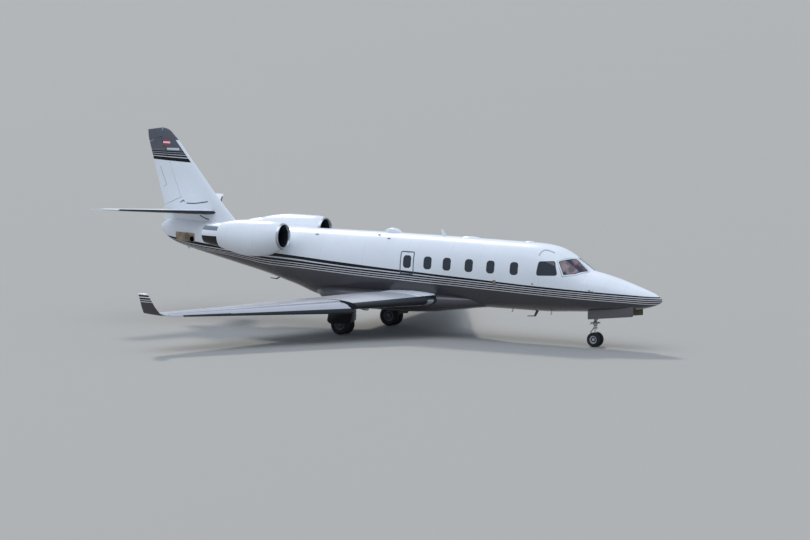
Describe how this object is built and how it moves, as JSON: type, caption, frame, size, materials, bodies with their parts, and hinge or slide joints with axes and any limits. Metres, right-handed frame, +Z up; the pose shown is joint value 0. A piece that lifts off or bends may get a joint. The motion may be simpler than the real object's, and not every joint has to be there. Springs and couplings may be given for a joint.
{
  "type": "twin-engined business jet",
  "caption": "Swept-wing business jet standing on its wheels, with hollow cabin, airstair door, moving control surfaces, fans, steered nose wheels and rolling main wheels.",
  "frame": {"origin": "on the ground below the middle of the overall length, on the centre plane", "axes": "+X to the nose, +Y to port, +Z up"},
  "size_m": [16.94, 16.6588, 5.54],
  "materials": {
    "white_paint": "gloss",
    "belly_paint": "gloss",
    "slate_paint": "gloss",
    "polished_metal": "polished",
    "hot_metal": "brushed",
    "leg_steel": "satin",
    "tyre": "matte",
    "glass": "tinted",
    "leather": "satin",
    "lining": "matte",
    "dark_trim": "matte"
  },
  "bodies": {
    "airframe": {"nose_section": "white_paint", "cockpit_shell": "white_paint", "cabin_shell_upper": "white_paint", "cabin_shell_lower": "belly_paint", "cabin_floor": "lining", "aft_section": "white_paint", "tail_cone": "white_paint", "belly_fairing": "belly_paint", "cabin_windows_left": "glass", "cabin_windows_right": "glass", "cockpit_windows": "glass", "cabin_seats_left": "leather", "cabin_seats_right": "leather", "cockpit_seats": "leather", "instrument_panel": "dark_trim", "antenna_dome": "white_paint", "wing_left": "white_paint", "wing_right": "white_paint", "winglet_left": "belly_paint", "winglet_right": "belly_paint", "fin": "white_paint", "tailplane": "white_paint", "engine_cowl_left": "white_paint", "engine_cowl_right": "white_paint", "engine_core_left": "hot_metal", "engine_core_right": "hot_metal", "reverser_left": "hot_metal", "reverser_right": "hot_metal", "pylon_left": "white_paint", "pylon_right": "white_paint", "main_leg_left": "leg_steel", "main_leg_right": "leg_steel", "main_leg_door_left": "belly_paint", "main_leg_door_right": "belly_paint", "nose_leg": "leg_steel", "nose_door_left": "belly_paint", "nose_door_right": "belly_paint"},
    "cabin_door": {"cabin_door": "white_paint"},
    "baggage_door": {"baggage_door": "white_paint"},
    "flap_left": {"flap_left": "white_paint"},
    "aileron_left": {"aileron_left": "white_paint"},
    "slat_left": {"slat_left": "slate_paint"},
    "elevator_left": {"elevator_left": "white_paint"},
    "fan_left": {"fan_left": "hot_metal"},
    "main_wheels_left": {"main_left_hubs": "polished_metal", "main_left_tyre_outer": "tyre", "main_left_tyre_inner": "tyre"},
    "flap_right": {"flap_right": "white_paint"},
    "aileron_right": {"aileron_right": "white_paint"},
    "slat_right": {"slat_right": "slate_paint"},
    "elevator_right": {"elevator_right": "white_paint"},
    "fan_right": {"fan_right": "hot_metal"},
    "main_wheels_right": {"main_right_hubs": "polished_metal", "main_right_tyre_outer": "tyre", "main_right_tyre_inner": "tyre"},
    "rudder": {"rudder": "white_paint"},
    "nose_fork": {"nose_fork": "leg_steel"},
    "nose_wheels": {"nose_hubs": "polished_metal", "nose_tyre_outer": "tyre", "nose_tyre_inner": "tyre"}
  },
  "joints": [
    {"name": "cabin_door_hinge", "type": "hinge", "parent": "airframe", "child": "cabin_door", "pos_m": [4.38, 0.56, 1.07], "axis": [-1, 0, 0], "range_deg": [0, 125]},
    {"name": "baggage_door_hinge", "type": "hinge", "parent": "airframe", "child": "baggage_door", "pos_m": [-2.96, 0.67, 1.403], "axis": [-1, 0, 0], "range_deg": [0, 105]},
    {"name": "flap_left_hinge", "type": "hinge", "parent": "airframe", "child": "flap_left", "pos_m": [-1.24906, 1.02, 1.003], "axis": [0.2355, -0.9719, -0.005], "range_deg": [0, 40]},
    {"name": "aileron_left_hinge", "type": "hinge", "parent": "airframe", "child": "aileron_left", "pos_m": [-2.35004, 5.52, 1.02609], "axis": [0.2875, -0.9578, -0.004], "range_deg": [-20, 20]},
    {"name": "slat_left_hinge", "type": "hinge", "parent": "airframe", "child": "slat_left", "pos_m": [-0.10738, 3, 0.53109], "axis": [-0.4654, 0.8827, 0.0655], "range_deg": [-22, 0]},
    {"name": "elevator_left_hinge", "type": "hinge", "parent": "airframe", "child": "elevator_left", "pos_m": [-7.25092, 0.42, 3.12345], "axis": [0.3366, -0.9395, -0.0639], "range_deg": [-20, 15]},
    {"name": "fan_left_spin", "type": "hinge", "parent": "airframe", "child": "fan_left", "pos_m": [-3.765, 1.17, 2.587], "axis": [1, 0, 0], "continuous": true},
    {"name": "main_wheels_left_spin", "type": "hinge", "parent": "airframe", "child": "main_wheels_left", "pos_m": [-0.97, 1.385, 0.292], "axis": [0, 1, 0], "continuous": true},
    {"name": "flap_right_hinge", "type": "hinge", "parent": "airframe", "child": "flap_right", "pos_m": [-1.24906, -1.02, 1.003], "axis": [-0.2355, -0.9719, 0.005], "range_deg": [0, 40]},
    {"name": "aileron_right_hinge", "type": "hinge", "parent": "airframe", "child": "aileron_right", "pos_m": [-2.35004, -5.52, 1.02609], "axis": [-0.2875, -0.9578, 0.004], "range_deg": [-20, 20]},
    {"name": "slat_right_hinge", "type": "hinge", "parent": "airframe", "child": "slat_right", "pos_m": [-0.10738, -3, 0.53109], "axis": [0.4654, 0.8827, -0.0655], "range_deg": [-22, 0]},
    {"name": "elevator_right_hinge", "type": "hinge", "parent": "airframe", "child": "elevator_right", "pos_m": [-7.25092, -0.42, 3.12345], "axis": [-0.3366, -0.9395, 0.0639], "range_deg": [-20, 15]},
    {"name": "fan_right_spin", "type": "hinge", "parent": "airframe", "child": "fan_right", "pos_m": [-3.765, -1.17, 2.587], "axis": [1, 0, 0], "continuous": true},
    {"name": "main_wheels_right_spin", "type": "hinge", "parent": "airframe", "child": "main_wheels_right", "pos_m": [-0.97, -1.385, 0.292], "axis": [0, 1, 0], "continuous": true},
    {"name": "rudder_hinge", "type": "hinge", "parent": "airframe", "child": "rudder", "pos_m": [-7.327, 0, 3.48], "axis": [-0.3772, 0, 0.9261], "range_deg": [-25, 25]},
    {"name": "nose_steering", "type": "hinge", "parent": "airframe", "child": "nose_fork", "pos_m": [6.395, 0, 0.203], "axis": [0, 0, 1], "range_deg": [-60, 60]},
    {"name": "nose_wheels_spin", "type": "hinge", "parent": "nose_fork", "child": "nose_wheels", "pos_m": [6.395, 0, 0.203], "axis": [0, 1, 0], "continuous": true}
  ]
}
